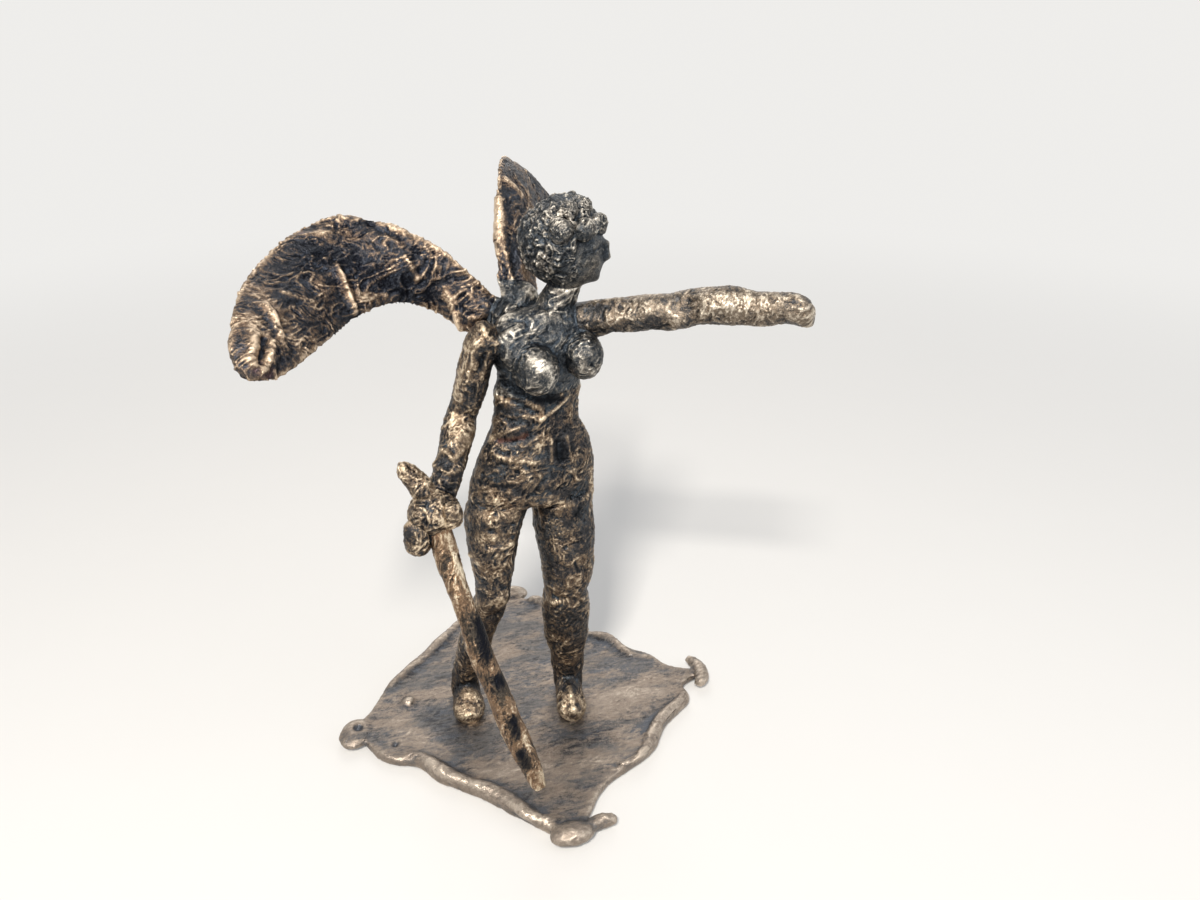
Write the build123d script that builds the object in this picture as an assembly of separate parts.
from build123d import *
import os
from math import cos, pi, radians, sin, sqrt

# Small brazed bronze figurine: a winged figure standing on a rough square plate, with the
# left arm stretched out and a long sword in the lowered right hand.
# Millimetres. +Z up, origin at the middle of the plate's flat underside. The plate stands on
# its corner: the front corner points along -Y, the figure's left hand is on the +X side.

# ---- plate --------------------------------------------------------------------------------
plate_side = 80.0          # straight side of the square, before the melted edge's wobble
plate_thickness = 3.0
rim_width = 3.4            # melted bead along each edge
rim_height = 2.6
rim_inset = 1.9            # from the edge to the bead's centre line
rim_lift = 0.2             # bead's centre line above the plate top
pellet_radius = 1.5
pellet_from_corner = 17.5  # from the left corner, along the diagonal
pit_radius = 1.5
pit_depth = 1.2

# ---- heights, each piled on the one below ---------------------------------------------------
ankle_rise = 9.5           # plate top to ankle
left_knee_rise = 41.0      # plate top to knee, straight leg
right_knee_rise = 44.0     # plate top to knee, bent leg
leg_length = 72.0          # plate top to the hips
pelvis_rise = 22.0
abdomen_rise = 10.0
chest_rise = 22.0
neck_rise = 5.5
skull_rise = 17.0          # chin to the crown, under the hair
hair_rise = 4.5            # hair above the crown

# ---- stance ---------------------------------------------------------------------------------
hip_width = 34.5
waist_width = 24.5
shoulder_width = 28.0
body_turn = 10.0           # degrees that the body is turned towards its left
left_foot_length = 19.5
right_foot_length = 17.0
foot_width = 8.6

# ---- arms -----------------------------------------------------------------------------------
left_arm_reach = 61.0      # shoulder to fingertips
left_arm_yaw = -27.0       # degrees from +X, negative is forwards
arm_width = 8.6
wrist_width = 6.8
upper_arm_drop = 19.5      # right shoulder to elbow
forearm_drop = 13.5        # right elbow to wrist

# ---- sword ----------------------------------------------------------------------------------
blade_width = 5.9
blade_thickness = 5.2
blade_bow = 1.3            # how far the blade bows off its straight line
tip_hover = 10.0           # tip's centre above the plate
tip_x = -7.0
tip_y = -45.0
grip_length = 9.0
pommel_length = 10.0

# ---- wings ----------------------------------------------------------------------------------
right_wing_length = 1.0    # scales the wing's whole path from its root
left_wing_length = 1.0
wing_thickness = 4.2
wing_root_width = 12.0

corner = plate_side / sqrt(2)
plate_top = plate_thickness
ankle_z = plate_top + ankle_rise
left_knee_z = plate_top + left_knee_rise
right_knee_z = plate_top + right_knee_rise
hip_z = plate_top + leg_length
waist_z = hip_z + pelvis_rise
rib_z = waist_z + abdomen_rise
collar_z = rib_z + chest_rise
chin_z = collar_z + neck_rise
crown_z = chin_z + skull_rise
shoulder_z = collar_z - 5.0

UP = Vector(0, 0, 1)
BODY_LEFT = Vector(cos(radians(body_turn)), sin(radians(body_turn)), 0)
BODY_FRONT = Vector(sin(radians(body_turn)), -cos(radians(body_turn)), 0)

pieces = {}


def oval(centre, along, wide, deep, across=BODY_LEFT):
    """Closed oval section: 'wide' lies along 'across', and its normal along 'along'."""
    plane = Plane(origin=Vector(*centre), x_dir=Vector(*across), z_dir=Vector(*along))
    rim = [(wide / 2 * cos(a * pi / 4), deep / 2 * sin(a * pi / 4)) for a in range(8)]
    return plane * make_face(Spline(*rim, periodic=True))


def lens(centre, along, wide, deep, across):
    """Leaf section: two shallow arcs that meet at the leaf's two edges."""
    plane = Plane(origin=Vector(*centre), x_dir=Vector(*across), z_dir=Vector(*along))
    left, right = (-wide / 2, 0), (wide / 2, 0)
    return plane * make_face([ThreePointArc(left, (0, deep / 2), right),
                              ThreePointArc(right, (0, -deep / 2), left)])


def skin(rings, across=BODY_LEFT):
    """Solid through rings of (centre, wide, deep[, along]), each square to the path."""
    centres = [Vector(*ring[0]) for ring in rings]
    faces = []
    for i, ring in enumerate(rings):
        before = centres[max(i - 1, 0)]
        after = centres[min(i + 1, len(rings) - 1)]
        along = ring[3] if len(ring) > 3 else (after - before).normalized()
        faces.append(oval(centres[i], along, ring[1], ring[2], across))
    return loft(faces)


def blob(centre, rx, ry, rz, turn=0.0):
    """Ellipsoid lump, turned about Z."""
    return Pos(*centre) * Rot(0, 0, turn) * scale(Sphere(1), by=(rx, ry, rz))


def cut(solid, *others):
    """The lump pressed against its neighbours: their volume is taken out of it."""
    for other in others:
        solid = solid - other
    return solid


def body(x, y, z):
    """Point at x to the body's left and y behind its middle line, at height z."""
    p = BODY_LEFT * x - BODY_FRONT * y
    return Vector(p.X, p.Y, z)


# ---- plate: sheet with a wobbly melted outline --------------------------------------------------
# Each side runs from one corner to the next: (share of the side, offset outwards in mm).
CORNERS = {"left": (-corner, 0), "front": (0, -corner), "right": (corner, 0), "rear": (0, corner)}
CORNER_REACH = {"left": 0.95, "front": 0.96, "right": 0.97, "rear": 1.0}
SIDES = {
    "front_left": ("left", "front",
                   [(0.09, 2.0), (0.18, 4.0), (0.27, 3.2), (0.34, 0.8), (0.43, 1.6), (0.58, 0.8),
                    (0.74, 0.3), (0.9, 0.2)]),
    "front_right": ("front", "right",
                    [(0.1, -0.4), (0.24, -2.4), (0.36, -0.6), (0.5, 2.4), (0.62, 0.8),
                     (0.76, 1.6), (0.83, 1.4), (0.87, -2.6)]),
    "back_right": ("right", "rear",
                   [(0.14, -4.0), (0.24, -2.0), (0.36, -2.8), (0.46, -0.8), (0.56, -3.2),
                    (0.7, -1.0), (0.86, 2.4)]),
    "back_left": ("rear", "left",
                  [(0.1, 3.4), (0.22, 6.4), (0.34, 6.8), (0.48, 5.6), (0.62, 5.0), (0.76, 4.2),
                   (0.88, 0.6)]),
}


def side_point(side, share, offset):
    """Point on a side of the plate, 'offset' outside its straight line."""
    (x0, y0), (x1, y1) = (CORNERS[name] for name in SIDES[side][:2])
    run = Vector(x1 - x0, y1 - y0, 0)
    out = Vector(run.Y, -run.X, 0).normalized()
    p = Vector(x0, y0, 0) + run * share + out * offset
    return p if (p + out).length > p.length else Vector(x0, y0, 0) + run * share - out * offset


def make_plate():
    outline = []
    for side, (start, _, wobble) in SIDES.items():
        x, y = CORNERS[start]
        outline.append(Vector(x, y, 0) * CORNER_REACH[start])
        outline += [side_point(side, share, offset) for share, offset in wobble]
    sheet = extrude(make_face(Spline(*outline, periodic=True)), plate_thickness)
    pit = side_point("front_left", 0.21, -1.0)
    return sheet - Pos(pit.X, pit.Y, plate_top) * Cone(pit_radius * 0.6, pit_radius,
                                                       2 * pit_depth)


def make_rim(side, first, last):
    """Melted bead that lies on the sheet, following the same wobble as its edge."""
    rings = []
    wobble = SIDES[side][2][first:last]
    for i, (share, offset) in enumerate(wobble):
        p = side_point(side, share, offset - rim_inset)
        end = 0.55 if i in (0, len(wobble) - 1) else 1.0 - 0.15 * (i % 2)
        rings.append(((p.X, p.Y, plate_top + rim_lift), rim_height * end, rim_width * end))
    return cut(skin(rings, across=(0, 0, 1)), pieces["base_plate"])


pieces["base_plate"] = make_plate()
for side, first, last in (("front_left", 2, 8), ("front_right", 2, 7), ("back_right", 1, 6),
                          ("back_left", 1, 6)):
    pieces[f"rim_{side}"] = make_rim(side, first, last)

lug_left = blob((-corner + 1.0, -3.2, 2.3), 4.4, 6.0, 2.2, -12)
lug_left -= Pos(-corner + 2.2, -2.4, plate_top + 1.0) * Cylinder(pit_radius, 2.4)
pieces["lug_left"] = cut(lug_left, pieces["base_plate"])
pieces["lug_front"] = cut(blob((0.2, -corner + 1.6, 2.4), 6.2, 3.6, 2.4), pieces["base_plate"])
spur = skin([((5.5, -corner + 3.2, 2.0), 3.6, 3.6), ((9.5, -corner + 4.4, 2.1), 4.4, 3.9),
             ((13.2, -corner + 4.2, 2.0), 2.2, 2.2)], across=(0, 0, 1))
pieces["spur_front"] = cut(spur, pieces["base_plate"], pieces["lug_front"])
hook = skin([((corner - 4.0, 7.4, 2.4), 2.2, 2.6), ((corner - 2.0, 4.4, 2.5), 3.6, 4.4),
             ((corner - 1.4, 0.4, 2.4), 3.8, 4.8), ((corner - 2.2, -3.4, 2.3), 3.6, 4.2),
             ((corner - 4.8, -5.4, 2.2), 2.2, 2.4)], across=(0, 0, 1))
pieces["lug_right"] = cut(hook, pieces["base_plate"])
rear = [blob((1.5, corner + 2.2, 2.6), 5.4, 3.0, 2.5, -10),
        blob((9.2, corner - 5.0, 2.4), 3.4, 2.6, 2.3, -30)]
pieces["lumps_rear"] = Compound(children=[cut(lump, pieces["base_plate"]).solids()[0]
                                          for lump in rear])
pellet_at = (-corner + pellet_from_corner, 6.7)
pieces["plate_pellet"] = (Pos(*pellet_at, plate_top + 0.5)
                          * Cylinder(pellet_radius, 1.0))

# ---- legs: each foot is pressed flat on the plate ---------------------------------------------
ground = Pos(0, 0, plate_top - 10) * Box(2 * plate_side, 2 * plate_side, 20)


def make_foot(heel, toe_turn, length, ankle, toe_width):
    """Heel-to-toe lump with an ankle stub, flat underneath."""
    toe = Vector(sin(radians(toe_turn)), -cos(radians(toe_turn)), 0)
    side = Vector(toe.Y, -toe.X, 0)
    at = Vector(heel[0], heel[1], 0)
    shape = [(0.0, 0.45, 3.4, 5.0), (0.18, 0.85, 4.2, 8.6), (0.45, 0.86, 4.4, 9.0),
             (0.74, toe_width, 3.6, 7.2), (1.0, toe_width * 0.5, 2.8, 3.6)]
    rings = [(at + toe * (length * share) + UP * (plate_top + rise - 0.8),
              foot_width * wide, deep, toe) for share, wide, rise, deep in shape]
    sole = skin(rings, across=side)
    stub_foot = at + toe * (length * 0.25) + UP * (plate_top + 2.5)
    stub = skin([(ankle[0], ankle[1], ankle[2], UP), (stub_foot, 8.0, 9.4, UP)])
    return cut(sole + stub, ground)


left_ankle = (Vector(10.9, 1.2, ankle_z), 8.4, 8.8)
right_ankle = (Vector(-21.2, 4.8, ankle_z), 7.8, 8.2)
left_knee = (Vector(9.9, -3.2, left_knee_z), 10.2, 10.6)
right_knee = (Vector(-12.6, -6.6, right_knee_z), 8.6, 9.4)
left_hip = (body(10.0, 0.3, hip_z), 16.6, 15.6)
right_hip = (body(-8.4, 0.2, hip_z), 16.4, 15.4)

pieces["left_foot"] = make_foot((11.2, 5.6), -7, left_foot_length, left_ankle, 1.0)
pieces["right_foot"] = make_foot((-21.2, 9.2), 1, right_foot_length, right_ankle, 1.05)


def limb(start, end, swell, start_along=UP, end_along=UP):
    """Limb between two shared joint rings; swell is (share, sideways, back, wide, deep)."""
    a, b = start[0], end[0]
    rings = [(a, start[1], start[2], start_along)]
    for share, sideways, back, wide, deep in swell:
        mid = a + (b - a) * share + BODY_LEFT * sideways - BODY_FRONT * back
        rings.append((mid, wide, deep, (b - a).normalized()))
    rings.append((b, end[1], end[2], end_along))
    return skin(rings)


pieces["left_shin"] = limb(left_ankle, left_knee, [(0.3, 0, 0.6, 9.6, 9.8),
                                                   (0.72, 0, 0.9, 12.8, 12.4)])
pieces["left_thigh"] = limb(left_knee, left_hip, [(0.28, 0.6, -0.4, 13.6, 13.2),
                                                 (0.65, 0.6, 0, 16.0, 15.0)])
pieces["right_shin"] = limb(right_ankle, right_knee, [(0.3, 0.2, 0.6, 8.2, 8.6),
                                                      (0.7, 0.2, 1.2, 9.0, 9.6)])
pieces["right_thigh"] = limb(right_knee, right_hip, [(0.3, -0.4, -0.6, 10.8, 11.6),
                                                     (0.62, -1.2, -0.6, 14.2, 14.0)])

# ---- trunk --------------------------------------------------------------------------------------
waist_ring = (body(2.8, 0.2, waist_z), waist_width, 14.6, UP)
rib_ring = (body(4.0, 0.4, rib_z), waist_width - 0.6, 14.4, UP)
neck_ring = (body(9.6, 0.8, collar_z), 9.6, 9.6, UP)
chin_ring = (body(12.6, 0.4, chin_z), 8.8, 9.0, UP)

pieces["pelvis"] = skin([(body(1.2, 0.4, hip_z), hip_width, 17.0, UP),
                         (body(2.0, 0.4, hip_z + 0.36 * pelvis_rise), hip_width, 18.6, UP),
                         (body(2.8, 0.2, hip_z + 0.7 * pelvis_rise), hip_width - 4.0, 16.8, UP),
                         waist_ring])
pieces["abdomen"] = skin([waist_ring, (body(3.4, 0.3, waist_z + 0.5 * abdomen_rise),
                                       waist_width - 1.0, 14.0, UP), rib_ring])
pieces["chest"] = skin([rib_ring,
                        (body(5.2, 0.4, rib_z + 0.35 * chest_rise), shoulder_width - 3.0, 15.4, UP),
                        (body(6.2, 0.6, rib_z + 0.68 * chest_rise), shoulder_width, 14.6, UP),
                        (body(7.4, 0.8, rib_z + 0.88 * chest_rise), shoulder_width * 0.8, 12.0, UP),
                        neck_ring])


def make_breast(x, z, wide, tall, reach, slope_from):
    """Hanging dome on the front of the chest, with the slope of metal that runs down into it."""
    rings = [(body(x, -3.0, z + 0.10 * tall), wide * 0.90, tall * 0.90, BODY_FRONT),
             (body(x, -6.5, z), wide, tall, BODY_FRONT),
             (body(x, -6.5 - 0.55 * reach, z - 0.04 * tall), wide * 0.86, tall * 0.84, BODY_FRONT),
             (body(x, -6.5 - reach, z - 0.08 * tall), wide * 0.36, tall * 0.34, BODY_FRONT)]
    slope = skin([(slope_from, wide * 0.8, wide * 0.5),
                  (slope_from * 0.4 + body(x, -5.5, z) * 0.6, wide * 0.95, wide * 0.6),
                  (body(x, -6.5, z - 0.1 * tall), wide * 0.8, wide * 0.6)])
    return cut(skin(rings) + slope, pieces["chest"], pieces["abdomen"])


breast_z = shoulder_z - 8.0
pieces["right_breast"] = make_breast(1.2, breast_z - 0.8, 11.2, 13.0, 6.6,
                                     body(-4.0, -2.4, shoulder_z + 0.5))
pieces["left_breast"] = make_breast(14.4, breast_z + 1.0, 9.8, 11.6, 5.6,
                                    body(13.6, -2.4, shoulder_z - 0.5))
pieces["neck"] = skin([neck_ring, chin_ring])

# ---- head: turned to look along the outstretched arm ----------------------------------------------
head_turn = -20.0
FACE = Vector(cos(radians(head_turn)), sin(radians(head_turn)), 0)
head_at = chin_ring[0]
head_shape = [(0.0, 0.0, 9.2, 9.2), (0.1, 1.2, 12.8, 11.0), (0.3, 1.1, 17.2, 15.0),
              (0.56, 0.5, 19.6, 17.4), (0.8, 0.1, 17.6, 16.0), (1.0, -0.3, 10.0, 9.4)]
pieces["head"] = skin([(head_at + FACE * ahead + UP * (skull_rise * share), long, wide, UP)
                       for share, ahead, long, wide in head_shape], across=FACE)
hair_middle = head_at - FACE * 0.9 + UP * (skull_rise * 0.62)
hair = blob(hair_middle, 10.4, 10.0, crown_z + hair_rise - hair_middle.Z, head_turn)
face_side = hair_middle + FACE * 11.9 - UP * 4.0
hair -= Pos(*face_side) * Rot(0, 0, head_turn) * Box(14.0, 30.0, 14.0)
pieces["hair_cap"] = cut(hair, pieces["head"], pieces["neck"], pieces["chest"])

curls = []
# rows of curls round the brow and crown: (rise, distance out, how many, half fan, radius)
for rise, reach, count, fan, radius in ((4.6, 9.2, 5, 80.0, 2.9), (8.8, 6.0, 3, 60.0, 2.6)):
    for i in range(count):
        angle = radians(head_turn - fan + 2 * fan * i / (count - 1))
        at = hair_middle + Vector(cos(angle), sin(angle), 0) * reach + UP * rise
        curl = cut(blob(at - FACE * 0.4, radius, radius, radius), pieces["hair_cap"],
                   pieces["head"])
        curls.append(curl.solids()[0])
pieces["hair_curls"] = Compound(children=curls)

# ---- left arm: stretched out sideways and a little forwards ----------------------------------------
ARM = Vector(cos(radians(left_arm_yaw)), sin(radians(left_arm_yaw)), 0)
left_shoulder = body(15.0, 0.4, shoulder_z + 0.6)


def arm_ring(share, rise, wide, deep):
    """Ring across the straight left arm at a share of its reach."""
    return (left_shoulder + ARM * (left_arm_reach * share) + UP * rise, wide, deep, ARM)


left_elbow = arm_ring(0.44, 4.3, 8.2, 9.0)
left_wrist = arm_ring(0.78, 6.0, wrist_width, wrist_width)
left_knuckles = arm_ring(0.90, 6.9, 7.0, 6.8)
pieces["left_upper_arm"] = cut(skin([arm_ring(0.0, -0.4, 9.4, 9.8),
                                     arm_ring(0.2, 1.8, arm_width, 9.4), left_elbow],
                                    across=UP), pieces["chest"], pieces["left_breast"])
pieces["left_forearm"] = skin([left_elbow, arm_ring(0.6, 6.2, 8.2, 9.4), left_wrist], across=UP)
pieces["left_hand"] = skin([left_wrist, arm_ring(0.84, 6.6, 7.2, 7.2), left_knuckles], across=UP)
pieces["left_fingers"] = skin([left_knuckles, arm_ring(0.96, 6.3, 6.4, 6.2),
                               arm_ring(1.0, 4.6, 4.0, 3.6)], across=UP)

# ---- right arm: hanging, elbow back, hand forward round the grip -----------------------------------
right_shoulder = body(-10.2, -0.6, shoulder_z - 2.8)
elbow_at = right_shoulder + Vector(-6.6, 3.0, -upper_arm_drop)
wrist_at = elbow_at + Vector(-6.0, -11.0, -forearm_drop)
grip_at = wrist_at + Vector(-4.7, -9.0, -5.2)
tip_at = Vector(tip_x, tip_y, plate_top + tip_hover)
SWORD = (tip_at - grip_at).normalized()
elbow_along = (wrist_at - right_shoulder).normalized()
wrist_along = (grip_at - elbow_at).normalized()
right_elbow = (elbow_at, 7.6, 8.0, elbow_along)
right_wrist = (wrist_at, wrist_width, 7.2, wrist_along)
guard_at = grip_at + SWORD * (grip_length / 2)
grip_top = (grip_at - SWORD * (grip_length / 2), 5.0, 5.0, SWORD)
guard_ring = (guard_at, 5.4, 5.4, SWORD)

pieces["sword_grip"] = skin([grip_top, guard_ring])
reach = (tip_at - guard_at).length
blade_shape = [(0.12, 0.4, 1.0), (0.4, 1.0, 1.0), (0.7, 0.8, 1.04), (0.93, 0.2, 0.94),
               (1.03, 0.0, 0.55)]
blade_rings = [guard_ring] + [
    (guard_at + SWORD * (reach * share) - BODY_LEFT * (blade_bow * bow), blade_width * size,
     blade_thickness * size, SWORD) for share, bow, size in blade_shape]
pieces["sword_blade"] = skin(blade_rings)
pommel_shape = [(0.35, 0.7, 6.4, 5.6), (0.75, 1.8, 4.8, 4.4), (1.0, 2.6, 1.6, 1.6)]
pieces["sword_pommel"] = skin([grip_top] + [
    (grip_top[0] - SWORD * (pommel_length * share) - BODY_LEFT * lean, wide, deep, SWORD)
    for share, lean, wide, deep in pommel_shape])

fist = blob(grip_at + Vector(0.6, 0.4, 0.6), 6.4, 5.8, 5.6, 20)
stub = skin([right_wrist, (grip_at + Vector(0.8, 1.2, 0.8), 8.0, 8.0, wrist_along)])
beyond_wrist = Plane(origin=wrist_at, z_dir=wrist_along) * Pos(0, 0, -15) * Box(30, 30, 30)
pieces["right_hand"] = cut(fist + stub, pieces["sword_grip"], pieces["sword_blade"],
                           pieces["sword_pommel"], beyond_wrist)
pieces["right_forearm"] = skin([right_elbow, (elbow_at + (wrist_at - elbow_at) * 0.5, 7.8, 8.2),
                                right_wrist])
pieces["right_upper_arm"] = cut(skin([(right_shoulder + Vector(2.8, 0.6, 2.4), 9.4, 9.6,
                                       Vector(-0.7, 0.1, -0.7)),
                                      (right_shoulder + Vector(-2.6, 1.0, -5.6), 8.2, 8.8),
                                      (right_shoulder + (elbow_at - right_shoulder) * 0.65, 7.6, 8.4),
                                      right_elbow]), pieces["chest"], pieces["right_breast"])


def make_guard(offset, wide, tall):
    """Round lump of the cross-guard, pressed against the sword and the fist."""
    middle = guard_at + offset
    rings = [(middle + UP * (tall * rise), wide * size, wide * size * 0.86, UP)
             for rise, size in ((0.5, 0.4), (0.3, 0.88), (0, 1.0), (-0.3, 0.88), (-0.5, 0.4))]
    return cut(skin(rings), pieces["sword_blade"], pieces["sword_grip"], pieces["right_hand"])


pieces["sword_guard_outer"] = make_guard(-BODY_LEFT * 5.6 - UP * 0.5, 7.0, 9.4)
pieces["sword_guard_inner"] = make_guard(BODY_LEFT * 3.0 + BODY_FRONT * 2.4 + UP * 5.0, 5.4, 6.6)

# ---- wings: leaf-shaped lumps of sheet on a rooted strap --------------------------------------------
# Path from the root ring: (x, y, z) offset, width, and the direction of the width.
right_root = body(-5.6, 10.1, shoulder_z + 1.3)
RIGHT_WING = [((-8.0, 2.5, 5.8), 15.4, (-0.27, -0.06, -0.96)),
              ((-16.0, 4.5, 11.0), 17.5, (-0.13, -0.17, -0.98)),
              ((-24.4, 4.5, 14.0), 21.4, (-0.01, -0.42, -0.91)),
              ((-32.1, 3.0, 15.1), 26.0, (0.13, -0.51, -0.85)),
              ((-40.7, -3.5, 13.2), 28.0, (0.27, -0.56, -0.79)),
              ((-48.0, -15.0, 10.7), 26.0, (0.40, -0.58, -0.71)),
              ((-53.0, -28.5, 8.1), 20.5, (0.47, -0.52, -0.71)),
              ((-55.9, -39.0, 5.7), 12.5, (0.51, -0.46, -0.73)),
              ((-57.0, -43.5, 4.0), 5.0, (0.51, -0.46, -0.73))]
left_root = body(2.8, 11.6, shoulder_z + 8.4)
LEFT_WING = [((1.0, 5.0, 7.0), 13.0, (0.76, 0.10, -0.64)),
             ((3.0, 12.0, 13.6), 16.5, (0.68, 0.10, -0.72)),
             ((5.4, 21.0, 18.6), 20.0, (0.62, 0.10, -0.78)),
             ((8.4, 32.0, 20.0), 22.0, (0.62, 0.10, -0.78)),
             ((12.0, 42.0, 18.4), 24.0, (0.64, 0.10, -0.76)),
             ((14.6, 50.0, 12.2), 18.4, (0.66, 0.10, -0.74)),
             ((15.4, 54.5, 10.4), 8.4, (0.66, 0.10, -0.74))]


def make_wing(root, root_width_dir, path, length):
    """Leaf lofted through lens sections; its root section is shared with the strap."""
    centres = [root] + [root + Vector(*offset) * length for offset, _, _ in path]
    widths = [wing_root_width] + [width for _, width, _ in path]
    across = [Vector(*root_width_dir)] + [Vector(*direction) for _, _, direction in path]
    faces = []
    for i, centre in enumerate(centres):
        along = centres[min(i + 1, len(centres) - 1)] - centres[max(i - 1, 0)]
        flat = across[i].normalized()
        along = (along - flat * along.dot(flat)).normalized()
        thick = wing_thickness * (0.6 if i == len(centres) - 1 else 1.0)
        faces.append(lens(centre, along, widths[i], thick, flat))
    return loft(faces), faces[0]


right_root_dir = (-0.42, 0.0, -0.91)
left_root_dir = (0.90, 0.10, -0.40)
pieces["right_wing"], right_root_face = make_wing(right_root, right_root_dir, RIGHT_WING,
                                                  right_wing_length)
pieces["left_wing"], left_root_face = make_wing(left_root, left_root_dir, LEFT_WING,
                                                left_wing_length)
right_strap_in = lens(body(-1.0, 3.4, shoulder_z - 1.0), (-0.86, 0.5, 0.1), 12.0, 7.0,
                      right_root_dir)
left_strap_in = lens(body(3.4, 4.6, shoulder_z + 0.4), (-0.3, 0.75, 0.6), 10.0, 7.0,
                     left_root_dir)
pieces["right_wing_root"] = cut(loft([right_strap_in, right_root_face]), pieces["chest"],
                                pieces["right_upper_arm"])
pieces["left_wing_root"] = cut(loft([left_strap_in, left_root_face]), pieces["chest"],
                               pieces["neck"], pieces["right_wing_root"], pieces["hair_cap"])

# ---- files -------------------------------------------------------------------------------------------
os.makedirs("parts", exist_ok=True)
for name, shape in pieces.items():
    export_step(shape, f"parts/{name}.step")
